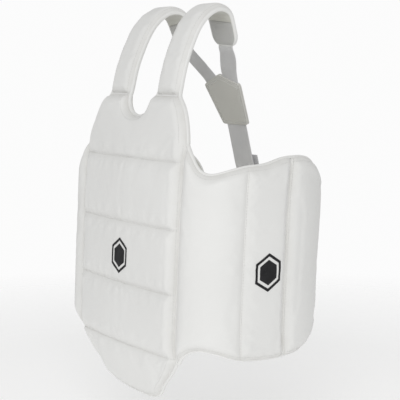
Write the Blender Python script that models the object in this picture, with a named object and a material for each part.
"""Padded karate body protector: a foam front panel with two side wings that wrap
round the ribs, padded shoulder straps and an elastic back harness.

Metres, +Z up, the wearer faces -Y and the wearer's left side is +X. The origin is on
the wearer's torso axis, half way up the side wings.

Pads lie on one cylinder-like body surface. A place on it is (s, z, d): s is the
distance round the body from the front centre line, z the height, and d the distance
out from the surface. Each pad is a sewn channel with an open-backed cover, a foam core
and, shared with its neighbours, a lining that closes the back.
"""

import math

import bmesh
import bpy
from mathutils import Vector

# Body surface in plan: (length, turn in degrees) of each arc, from the front centre
FRONT_HALF = 0.124
SIDE_FRONT_LENGTH = 0.0857
SIDE_MIDDLE_LENGTH = 0.076
SIDE_REAR_LENGTH = 0.0975
PLAN_ARCS = (
    (FRONT_HALF, 5.0),
    (SIDE_FRONT_LENGTH, 80.0),
    (SIDE_MIDDLE_LENGTH, 15.0),
    (SIDE_REAR_LENGTH, 32.0),
)
FRONT_SEAM_Y = -0.110
LEAN = 0.055  # the whole surface leans back by this much per metre of height
CHEST_CURL_Z, CHEST_CURL, CHEST_CURL_SOFT = 0.120, 0.080, 0.030
TAB_CURL_Z, TAB_CURL, TAB_CURL_SOFT = -0.128, 0.190, 0.020

SEAM_FRONT = FRONT_HALF
SEAM_MIDDLE = SEAM_FRONT + SIDE_FRONT_LENGTH
SEAM_REAR = SEAM_MIDDLE + SIDE_MIDDLE_LENGTH
WING_END = SEAM_REAR + SIDE_REAR_LENGTH

# Front panel: heights of the cross seams and of the outline
CROSS_SEAMS = (0.130, 0.040, -0.047, -0.134)
STRAP_SEAT_Z = 0.2155
NECK_LOW_Z = 0.186
NECK_HALF = 0.035
TAB_LOW_Z = -0.2115
TAB_CORNER_RISE = 0.012
TAB_NARROWING = 2.0
CHEST_HALF = ((0.0, 0.124), (0.257, 0.124), (0.45, 0.1195), (0.65, 0.1125), (0.85, 0.102), (1.0, 0.0886))
TAB_HALF = ((0.0, 0.060), (0.15, 0.069), (0.35, 0.083), (0.6, 0.1025), (0.8, 0.1155), (0.92, 0.1225), (1.0, 0.124))

# Side wing: top and bottom edges along s, with rounded rear corners
WING_TOP = (
    (0.124, 0.152), (0.135, 0.138), (0.148, 0.121), (0.163, 0.1147),
    (0.190, 0.121), (0.210, 0.1255), (0.240, 0.127), (0.270, 0.134), (0.298, 0.135),
)
WING_BOTTOM = (
    (0.124, -0.1415), (0.134, -0.130), (0.148, -0.1205), (0.162, -0.1175),
    (0.180, -0.121), (0.210, -0.132), (0.240, -0.136), (0.270, -0.138), (0.310, -0.138),
)
TOP_CORNER = (0.085, 0.070)
BOTTOM_CORNER = (0.073, 0.055)

# Pad build-up
FRONT_CROWN, SIDE_CROWN, STRAP_CROWN = 0.0140, 0.0130, 0.0095
EDGE_HEIGHT = 0.0038
DOME_WIDTH = 0.024
DOME_LINES = (0.0, 0.006, 0.024)
COVER_WALL = 0.0010
SEAM_GAP = 0.0004
HINGE_GAP = 0.0008
CORE_GAP = 0.0008
LINING_NEAR, LINING_FAR = -0.0005, -0.0030
LINING_MARGIN = 0.0025

# Shoulder strap: the line of its inner face, front to back
STRAP_PATH = (
    (0.0620, -0.0862, 0.2168), (0.0610, -0.0740, 0.2620), (0.0590, -0.0510, 0.3090),
    (0.0570, -0.0240, 0.3310), (0.0550, -0.0010, 0.3290), (0.0520, 0.0100, 0.3080),
    (0.0500, 0.0165, 0.2860),
)
STRAP_HALF = 0.0262
STRAP_END_ROUND = 0.014

# Back harness
WEBBING_THICKNESS = 0.0018
WEBBING_HALF_TOP, WEBBING_HALF_LOW = 0.0155, 0.0165
YOKE_TOP = Vector((0.0, 0.0405, 0.2450))
YOKE_DOWN = Vector((0.0, 0.0335, -0.0750)).normalized()
YOKE_OUT = Vector((0.0, 0.0750, 0.0335)).normalized()
YOKE_LENGTH = 0.0815
YOKE_SHOULDER_DROP, YOKE_SHOULDER_HALF, YOKE_LOW_HALF = 0.0165, 0.043, 0.030
YOKE_NEAR, YOKE_FAR = 0.0013, 0.0024
BACK_STRAP_HALF = 0.0230
STRAP_OFFSET = 0.0036  # of each run of the back strap from the middle of the belt
BELT_Z, BELT_HALF_HEIGHT, BELT_THICKNESS = 0.030, 0.030, 0.0018
BELT_Y = 0.1120
BELT_END_S, BELT_LEAVES_S = 0.322, 0.372
PATCH_LOOP = (-0.0045, -0.0034)
PATCH_HOOK = (-0.0065, -0.0053)
BELT_ON_WING = -0.0079
PATCH_S = (0.326, 0.368)
PATCH_HALF_HEIGHT = 0.025

MARK_THICKNESS = 0.0006
MARK_LIFT = 0.0004

MATERIALS = {
    "cover": ((0.86, 0.86, 0.84), 0.52),
    "lining": ((0.78, 0.78, 0.75), 0.90),
    "foam": ((0.90, 0.88, 0.78), 0.95),
    "webbing": ((0.66, 0.66, 0.64), 0.85),
    "fastener": ((0.72, 0.72, 0.70), 0.98),
    "mark": ((0.03, 0.03, 0.03), 0.45),
}


# ---------------------------------------------------------------- small maths


def soft_ramp(distance, softness):
    """About twice the distance when positive and about zero when negative."""
    return distance + math.sqrt(distance * distance + softness * softness)


def through(knots, x):
    """A smooth value at x through (x, value) knots, flat where the knots are flat."""
    if x <= knots[0][0]:
        return knots[0][1]
    if x >= knots[-1][0]:
        return knots[-1][1]
    slopes = []
    for i in range(len(knots)):
        before, after = knots[max(i - 1, 0)], knots[min(i + 1, len(knots) - 1)]
        slopes.append((after[1] - before[1]) / (after[0] - before[0]))
    for i in range(len(knots) - 1):
        (x0, v0), (x1, v1) = knots[i], knots[i + 1]
        if x <= x1:
            width = x1 - x0
            t = (x - x0) / width
            rise = v0 + (v1 - v0) * t * t * (3.0 - 2.0 * t)
            return rise + width * t * (1.0 - t) * (slopes[i] * (1.0 - t) - slopes[i + 1] * t)
    return knots[-1][1]


def smooth_path(knots, steps):
    """Points on a Catmull-Rom curve through the knots, with steps spans for each knot span."""
    points = [Vector(k) for k in knots]
    ends = [points[0] * 2 - points[1]] + points + [points[-1] * 2 - points[-2]]
    made = []
    for i in range(1, len(ends) - 2):
        a, b, c, d = ends[i - 1 : i + 3]
        for j in range(steps):
            t = j / steps
            made.append(
                0.5 * (2 * b + (c - a) * t + (2 * a - 5 * b + 4 * c - d) * t * t + (3 * b - a - 3 * c + d) * t ** 3)
            )
    made.append(points[-1])
    return made


def spaced(low, high, edge_lines, inner):
    """Positions from low to high: edge_lines in from each end, and inner equal spans between."""
    first = [low + e for e in edge_lines]
    last = [high - e for e in reversed(edge_lines)]
    start, stop = first[-1], last[0]
    middle = [start + (stop - start) * i / inner for i in range(1, inner)]
    return first + middle + last


# ---------------------------------------------------------------- body surface


def plan(s):
    """Plan position and heading of the body surface at distance s round it."""
    side = 1.0 if s >= 0.0 else -1.0
    left = abs(s)
    x, y, heading = 0.0, 0.0, 0.0
    for length, turn in PLAN_ARCS:
        radius = length / math.radians(turn)
        last = (length, turn) == PLAN_ARCS[-1]
        step = left if last else min(left, length)
        new = heading + step / radius
        x += radius * (math.sin(new) - math.sin(heading))
        y += radius * (math.cos(heading) - math.cos(new))
        heading = new
        left -= step
        if left <= 0.0:
            break
    return side * x, y, side * heading


SEAM_DEPTH = plan(FRONT_HALF)[1]


def lean(z):
    """How far back the surface stands at height z."""
    chest = CHEST_CURL * soft_ramp(z - CHEST_CURL_Z, CHEST_CURL_SOFT)
    tab = TAB_CURL * soft_ramp(TAB_CURL_Z - z, TAB_CURL_SOFT)
    return LEAN * (z - CROSS_SEAMS[1]) + chest + tab


def on_body(s, z, d):
    x, y, heading = plan(s)
    x += math.sin(heading) * d
    y += FRONT_SEAM_Y - SEAM_DEPTH - math.cos(heading) * d + lean(z)
    return Vector((x, y, z))


def corner_drop(s, corner):
    """How far a rounded rear corner has cut in at s."""
    length, drop = corner
    t = (s - (WING_END - length)) / length
    return drop * (1.0 - math.sqrt(max(0.0, 1.0 - t * t))) if t > 0.0 else 0.0


def wing_top(s):
    return through(WING_TOP, s) - corner_drop(s, TOP_CORNER)


def wing_bottom(s):
    return through(WING_BOTTOM, s) + corner_drop(s, BOTTOM_CORNER)


def chest_top(s):
    """Top edge of the chest pad, with the neckline between the strap seats."""
    if abs(s) >= NECK_HALF:
        return STRAP_SEAT_Z
    return NECK_LOW_Z + (STRAP_SEAT_Z - NECK_LOW_Z) * (1.0 - math.sqrt(1.0 - (s / NECK_HALF) ** 2))


# ---------------------------------------------------------------- mesh building


def make_object(name, mesh_data, material):
    mesh = bpy.data.meshes.new(name)
    mesh_data.to_mesh(mesh)
    mesh_data.free()
    mesh.materials.append(material)
    mesh.shade_smooth()
    mesh.set_sharp_from_angle(angle=math.radians(35))
    made = bpy.data.objects.new(name, mesh)
    bpy.context.scene.collection.objects.link(made)
    return made


def border(columns, rows):
    """Grid places round the edge, in order."""
    ring = [(i, 0) for i in range(columns)]
    ring += [(columns - 1, j) for j in range(1, rows)]
    ring += [(i, rows - 1) for i in range(columns - 2, -1, -1)]
    ring += [(0, j) for j in range(rows - 2, 0, -1)]
    return ring


def add_grid(bm, points):
    return [[bm.verts.new(p) for p in column] for column in points]


def fill_grid(bm, grid):
    for a, b in zip(grid, grid[1:]):
        for j in range(len(a) - 1):
            bm.faces.new((a[j], b[j], b[j + 1], a[j + 1]))


def join_rings(bm, one, two):
    count = len(one)
    for k in range(count):
        after = (k + 1) % count
        bm.faces.new((one[k], one[after], two[after], two[k]))


def closed(bm):
    """Turns every face outwards."""
    bmesh.ops.recalc_face_normals(bm, faces=bm.faces)
    if bm.calc_volume(signed=True) < 0.0:
        bmesh.ops.reverse_faces(bm, faces=bm.faces)
    return bm


def dome(u, v, low, high, crown):
    """Height of a stuffed channel at (u, v): full in the middle, flat at its sewn edges."""
    swell = 1.0
    for value, start, stop in ((u, low[0], high[0]), (v, low[1], high[1])):
        inside = min(value - start, stop - value)
        rest = 1.0 - min(max(inside, 0.0) / DOME_WIDTH, 1.0)
        swell *= math.sqrt(max(0.0, 1.0 - rest * rest))
    return EDGE_HEIGHT + (crown - EDGE_HEIGHT) * swell


class Channel:
    """One stuffed channel. u and v run in metres, and place(u, v, d) gives the point.

    narrowing makes the side walls thicker in u, where place brings the sides together.
    """

    def __init__(self, place, low, high, crown, inner, narrowing=1.0):
        self.place, self.low, self.high, self.crown, self.inner = place, low, high, crown, inner
        self.narrowing = narrowing

    def grid(self, inset, lines, spans):
        side = inset * self.narrowing
        across = spaced(self.low[0] + side, self.high[0] - side, lines, spans[0])
        along = spaced(self.low[1] + inset, self.high[1] - inset, lines, spans[1])
        return across, along

    def skin(self, bm, inset, below):
        """The stuffed surface, with its lines drawn in by inset and lowered by below."""
        full = self.grid(0.0, DOME_LINES, self.inner)
        across, along = self.grid(inset, DOME_LINES, self.inner)
        points = []
        for u, full_u in zip(across, full[0]):
            column = []
            for v, full_v in zip(along, full[1]):
                height = dome(full_u, full_v, self.low, self.high, self.crown) - below
                column.append(self.place(u, v, height))
            points.append(column)
        return add_grid(bm, points), across, along

    def foot(self, bm, across, along, height):
        ring = border(len(across), len(along))
        return [bm.verts.new(self.place(across[i], along[j], height)) for i, j in ring]

    def cover(self, name, material):
        """An open-backed shell."""
        bm = bmesh.new()
        rings = []
        for inset in (0.0, COVER_WALL):
            grid, across, along = self.skin(bm, inset, inset)
            fill_grid(bm, grid)
            top = [grid[i][j] for i, j in border(len(across), len(along))]
            foot = self.foot(bm, across, along, 0.0)
            join_rings(bm, top, foot)
            rings.append(foot)
        join_rings(bm, *rings)
        return make_object(name, closed(bm), material)

    def core(self, name, material):
        """The foam block inside the cover."""
        bm = bmesh.new()
        inset = COVER_WALL + CORE_GAP
        top, across, along = self.skin(bm, inset, inset)
        fill_grid(bm, top)
        bottom = add_grid(bm, [[self.place(u, v, CORE_GAP) for v in along] for u in across])
        fill_grid(bm, bottom)
        ring = border(len(across), len(along))
        join_rings(bm, [top[i][j] for i, j in ring], [bottom[i][j] for i, j in ring])
        return make_object(name, closed(bm), material)


def slab(name, place, across, along, near, far, material):
    """A sheet of even thickness over a grid, between the offsets near and far."""
    bm = bmesh.new()
    sides = []
    for d in (near, far):
        grid = add_grid(bm, [[place(u, v, d) for v in along] for u in across])
        fill_grid(bm, grid)
        sides.append([grid[i][j] for i, j in border(len(across), len(along))])
    join_rings(bm, *sides)
    return make_object(name, closed(bm), material)


def ribbon(name, points, halves, thickness, across, material):
    """A flat strap along points, halves wide to each side of them."""
    bm = bmesh.new()
    rings = []
    for i, point in enumerate(points):
        tangent = (points[min(i + 1, len(points) - 1)] - points[max(i - 1, 0)]).normalized()
        side = (across - tangent * across.dot(tangent)).normalized()
        out = tangent.cross(side).normalized() * thickness / 2
        half = halves[i]
        corners = (-side * half - out, side * half - out, side * half + out, -side * half + out)
        rings.append([bm.verts.new(point + c) for c in corners])
    for one, two in zip(rings, rings[1:]):
        join_rings(bm, one, two)
    bm.faces.new(rings[0])
    bm.faces.new(rings[-1])
    return make_object(name, closed(bm), material)


# ---------------------------------------------------------------- front panel


def front_channels():
    """(name, channel) from the chest down to the abdomen tab."""
    gap = SEAM_GAP
    half = FRONT_HALF - HINGE_GAP / 2
    chest_height = STRAP_SEAT_Z - CROSS_SEAMS[0]
    tab_height = CROSS_SEAMS[-1] - TAB_LOW_Z

    def chest(u, v, d):
        share = v / chest_height
        reach = through(CHEST_HALF, share) / FRONT_HALF
        top = chest_top(u * CHEST_HALF[-1][1] / FRONT_HALF)
        return on_body(u * reach, CROSS_SEAMS[0] + share * (top - CROSS_SEAMS[0]), d)

    def tab(u, v, d):
        share = v / tab_height
        reach = through(TAB_HALF, share) / FRONT_HALF
        low = TAB_LOW_Z + TAB_CORNER_RISE * (u / FRONT_HALF) ** 4
        return on_body(u * reach, low + share * (CROSS_SEAMS[-1] - low), d)

    made = [("chest", Channel(chest, (-half, gap), (half, chest_height), FRONT_CROWN, (8, 2)))]
    for name, top, bottom in zip(("upper", "middle", "lower"), CROSS_SEAMS, CROSS_SEAMS[1:]):
        channel = Channel(on_body, (-half, bottom + gap), (half, top - gap), FRONT_CROWN, (3, 1))
        made.append((name, channel))
    low, high = (-half, 0.0), (half, tab_height - gap)
    made.append(("abdomen", Channel(tab, low, high, FRONT_CROWN, (4, 2), TAB_NARROWING)))
    return made


def front_lining_place(u, v, d):
    """u from -1 to 1 across, v in metres of height at the centre line."""
    top_share = (v - CROSS_SEAMS[0]) / (NECK_LOW_Z - CROSS_SEAMS[0])
    low_share = (v - TAB_LOW_Z) / (CROSS_SEAMS[-1] - TAB_LOW_Z)
    half, z = FRONT_HALF - HINGE_GAP / 2, v
    if top_share > 0.0:
        margin = LINING_MARGIN * min(1.0, top_share * 3.0)
        half = through(CHEST_HALF, top_share) - HINGE_GAP / 2 + margin * (top_share > 0.3)
        top = chest_top(u * CHEST_HALF[-1][1])
        z = CROSS_SEAMS[0] + top_share * (top - CROSS_SEAMS[0])
    elif low_share < 1.0:
        half = through(TAB_HALF, low_share) - HINGE_GAP / 2
        low = TAB_LOW_Z - LINING_MARGIN + TAB_CORNER_RISE * u ** 4
        z = low + low_share * (CROSS_SEAMS[-1] - low)
    return on_body(u * half, z, d)


def build_front(materials):
    for name, channel in front_channels():
        channel.cover(name + "_pad_cover", materials["cover"])
        channel.core(name + "_pad_foam", materials["foam"])
    across = [-1.0, -0.86, -0.62, -0.395, -0.3, -0.15, 0.0, 0.15, 0.3, 0.395, 0.62, 0.86, 1.0]
    chest_rise = NECK_LOW_Z - CROSS_SEAMS[0]
    along = [TAB_LOW_Z, TAB_LOW_Z + 0.02, TAB_LOW_Z + 0.045, CROSS_SEAMS[-1], CROSS_SEAMS[2], CROSS_SEAMS[1]]
    along += [CROSS_SEAMS[0] + chest_rise * share for share in (0.0, 0.257, 0.5, 0.75, 1.0)]
    slab("front_lining", front_lining_place, across, along, LINING_NEAR, LINING_FAR, materials["lining"])


# ---------------------------------------------------------------- side wings


def wing_place(side, margin):
    """place(s, share, d) on a wing, share running from 0 at the bottom edge to 1 at the top."""

    def place(s, share, d):
        low, high = wing_bottom(s) - margin, wing_top(s) + margin
        return on_body(side * s, low + share * (high - low), d)

    return place


def wing_channel(side, start, stop, spans, first_gap, last_gap):
    """A channel between two seams, v being in metres of its tallest column.

    The layers inside stay within the outline both where they are and at the nearest of the
    cover's own lines, so that they keep their distance from it where it is steep.
    """
    height = max(wing_top(s) - wing_bottom(s) for s in (start, (start + stop) / 2, stop))
    lines = spaced(start + first_gap, stop - last_gap, DOME_LINES, spans[0])

    def place(s, v, d):
        line = min(lines, key=lambda one: abs(one - s))
        low = max(wing_bottom(s), wing_bottom(line))
        high = min(wing_top(s), wing_top(line))
        return on_body(side * s, low + v / height * (high - low), d)

    return Channel(place, (start + first_gap, 0.0), (stop - last_gap, height), SIDE_CROWN, spans)


def build_wing(side, word, materials):
    hinge, seam = HINGE_GAP / 2, SEAM_GAP
    channels = (
        ("front", wing_channel(side, SEAM_FRONT, SEAM_MIDDLE, (4, 2), hinge, seam)),
        ("middle", wing_channel(side, SEAM_MIDDLE, SEAM_REAR, (2, 2), seam, hinge)),
        ("rear", wing_channel(side, SEAM_REAR, WING_END, (4, 2), hinge, 0.0)),
    )
    for name, channel in channels:
        channel.cover(f"{word}_{name}_pad_cover", materials["cover"])
        channel.core(f"{word}_{name}_pad_foam", materials["foam"])
    place = wing_place(side, LINING_MARGIN)
    rows = channels[0][1].grid(0.0, DOME_LINES, channels[0][1].inner)[1]
    shares = [v / rows[-1] for v in rows]
    columns = [channel.grid(0.0, DOME_LINES, channel.inner)[0] for _, channel in channels]
    forward = columns[0][:-1] + [SEAM_MIDDLE] + columns[1][1:]
    backward = columns[2][:-1] + [WING_END + LINING_MARGIN / 2]
    slab(f"{word}_wing_lining", place, forward, shares, LINING_NEAR, LINING_FAR, materials["lining"])
    slab(f"{word}_rear_lining", place, backward, shares, LINING_NEAR, LINING_FAR, materials["lining"])


def build_patch(name, side, heights, material):
    def place(s, z, d):
        return on_body(side * s, z, d)

    across = spaced(PATCH_S[0], PATCH_S[1], (0.0,), 3)
    along = [BELT_Z - PATCH_HALF_HEIGHT, BELT_Z + PATCH_HALF_HEIGHT]
    return slab(name, place, across, along, heights[0], heights[1], material)


def build_mark(name, centre, half, crown, spans, material):
    """A thin film on the crown of a pad."""
    low = crown + MARK_LIFT
    across = spaced(centre[0] - half[0], centre[0] + half[0], (0.0,), spans)
    along = [centre[1] - half[1], centre[1] + half[1]]
    return slab(name, on_body, across, along, low, low + MARK_THICKNESS, material)


# ---------------------------------------------------------------- shoulder straps


def build_shoulder_strap(side, word, materials):
    path = [Vector((side * p.x, p.y, p.z)) for p in smooth_path(STRAP_PATH, 4)]
    lengths = [0.0]
    for one, two in zip(path, path[1:]):
        lengths.append(lengths[-1] + (two - one).length)
    total = lengths[-1]
    across = Vector((side, 0.0, 0.0))

    def at(v):
        for i in range(len(lengths) - 1):
            if v <= lengths[i + 1] or i == len(lengths) - 2:
                t = (v - lengths[i]) / (lengths[i + 1] - lengths[i])
                before, after = path[max(i - 1, 0)], path[min(i + 2, len(path) - 1)]
                tangent = ((path[i + 1] - before) * (1 - t) + (after - path[i]) * t).normalized()
                return path[i].lerp(path[i + 1], t), tangent

    def place(u, v, d):
        point, tangent = at(min(max(v, 0.0), total))
        sideways = (across - tangent * across.dot(tangent)).normalized()
        out = Vector((0.0, -tangent.z, tangent.y))
        out = (out - sideways * out.dot(sideways)).normalized()
        near_end = max(0.0, 1.0 - (total - v) / STRAP_END_ROUND)
        narrow = 1.0 - 0.35 * near_end * near_end
        return point + sideways * u * narrow + out * d

    channel = Channel(place, (-STRAP_HALF, 0.0), (STRAP_HALF, total), STRAP_CROWN, (1, 12))
    channel.cover(f"{word}_shoulder_cover", materials["cover"])
    channel.core(f"{word}_shoulder_foam", materials["foam"])
    edges, along = channel.grid(0.0, DOME_LINES, channel.inner)
    slab(f"{word}_shoulder_lining", place, edges, along, LINING_NEAR, LINING_FAR, materials["lining"])


# ---------------------------------------------------------------- back harness


def on_yoke(x, down, d):
    return YOKE_TOP + Vector((x, 0.0, 0.0)) + YOKE_DOWN * down + YOKE_OUT * d


def build_yoke(name, near, far, material):
    """A five-sided leatherette plate: a low peak, two shoulders and a narrower foot."""
    outline = (
        (0.0, 0.0),
        (YOKE_SHOULDER_HALF, YOKE_SHOULDER_DROP),
        (YOKE_LOW_HALF, YOKE_LENGTH),
        (-YOKE_LOW_HALF, YOKE_LENGTH),
        (-YOKE_SHOULDER_HALF, YOKE_SHOULDER_DROP),
    )
    bm = bmesh.new()
    one = [bm.verts.new(on_yoke(x, down, near)) for x, down in outline]
    two = [bm.verts.new(on_yoke(x, down, far)) for x, down in outline]
    bm.faces.new(one)
    bm.faces.new(two)
    join_rings(bm, one, two)
    return make_object(name, closed(bm), material)


def build_webbing(side, word, material):
    """A short webbing from the padded strap's end into the yoke."""
    last = Vector(STRAP_PATH[-1])
    knots = [
        (last.x - 0.0006, last.y + 0.0010, last.z - 0.0042),
        (0.0445, 0.0245, 0.2700),
        (0.0325, 0.0345, 0.2530),
        on_yoke(0.0240, 0.0080, 0.0),
        on_yoke(0.0215, 0.0220, 0.0),
    ]
    points = [Vector((side * p.x, p.y, p.z)) for p in smooth_path(knots, 3)]
    count = len(points) - 1
    halves = [WEBBING_HALF_TOP + (WEBBING_HALF_LOW - WEBBING_HALF_TOP) * i / count for i in range(count + 1)]
    ribbon(f"{word}_webbing", points, halves, WEBBING_THICKNESS, Vector((side, 0.0, 0.0)), material)


def build_back_strap(materials):
    """One strap from the yoke, down inside the belt, round under it and back up outside."""
    low = BELT_Z - BELT_HALF_HEIGHT - 0.004

    def beside_belt(z, offset):
        return (0.0, BELT_Y + offset + LEAN * (z - BELT_Z), z)

    knots = [
        on_yoke(0.0, YOKE_LENGTH - 0.020, 0.0),
        on_yoke(0.0, YOKE_LENGTH + 0.001, 0.0),
        (0.0, 0.0830, 0.135),
        (0.0, 0.0930, 0.098),
        beside_belt(0.070, -0.0060),
        beside_belt(0.050, -STRAP_OFFSET),
        beside_belt(low, -STRAP_OFFSET),
        beside_belt(low - 0.004, 0.0),
        beside_belt(low, STRAP_OFFSET),
        beside_belt(0.050, STRAP_OFFSET),
        beside_belt(0.070, STRAP_OFFSET - 0.0005),
        (0.0, 0.1030, 0.098),
        (0.0, 0.0955, 0.124),
    ]
    points = smooth_path(knots, 2)
    halves = [BACK_STRAP_HALF] * len(points)
    ribbon("back_strap", points, halves, WEBBING_THICKNESS, Vector((1.0, 0.0, 0.0)), materials["webbing"])


def build_belt(materials):
    """An elastic belt: its ends lie inside the wings and its middle runs straight across the back."""
    half = [on_body(s, BELT_Z, BELT_ON_WING) for s in spaced(BELT_END_S, BELT_LEAVES_S, (0.0,), 4)]
    last = half[-1]
    half.append(Vector((last.x - 0.014, BELT_Y - 0.0014, BELT_Z)))
    half.append(Vector((last.x - 0.028, BELT_Y, BELT_Z)))
    points = half + [Vector((-p.x, p.y, p.z)) for p in reversed(half)]
    halves = [BELT_HALF_HEIGHT] * len(points)
    ribbon("back_belt", points, halves, BELT_THICKNESS, Vector((0.0, LEAN, 1.0)), materials["webbing"])


# ---------------------------------------------------------------- whole object


def make_materials():
    made = {}
    for name, (colour, roughness) in MATERIALS.items():
        material = bpy.data.materials.new(name)
        material.use_nodes = True
        shader = material.node_tree.nodes["Principled BSDF"]
        shader.inputs["Base Color"].default_value = (*colour, 1.0)
        shader.inputs["Roughness"].default_value = roughness
        shader.inputs["Metallic"].default_value = 0.0
        made[name] = material
    return made


def build():
    for old in list(bpy.data.objects):
        bpy.data.objects.remove(old)
    materials = make_materials()
    build_front(materials)
    build_mark("front_mark", (0.0, -0.009), (0.019, 0.026), FRONT_CROWN, 2, materials["mark"])
    for side, word in ((1.0, "left"), (-1.0, "right")):
        build_wing(side, word, materials)
        build_shoulder_strap(side, word, materials)
        build_webbing(side, word, materials["webbing"])
        build_patch(f"{word}_loop_patch", side, PATCH_LOOP, materials["fastener"])
        build_patch(f"{word}_hook_patch", side, PATCH_HOOK, materials["fastener"])
        centre = (side * (SEAM_MIDDLE + SEAM_REAR) / 2, -0.016)
        build_mark(f"{word}_mark", centre, (0.021, 0.026), SIDE_CROWN, 6, materials["mark"])
    build_yoke("yoke_outer", YOKE_NEAR, YOKE_FAR, materials["cover"])
    build_yoke("yoke_inner", -YOKE_NEAR, -YOKE_FAR, materials["cover"])
    build_back_strap(materials)
    build_belt(materials)


build()
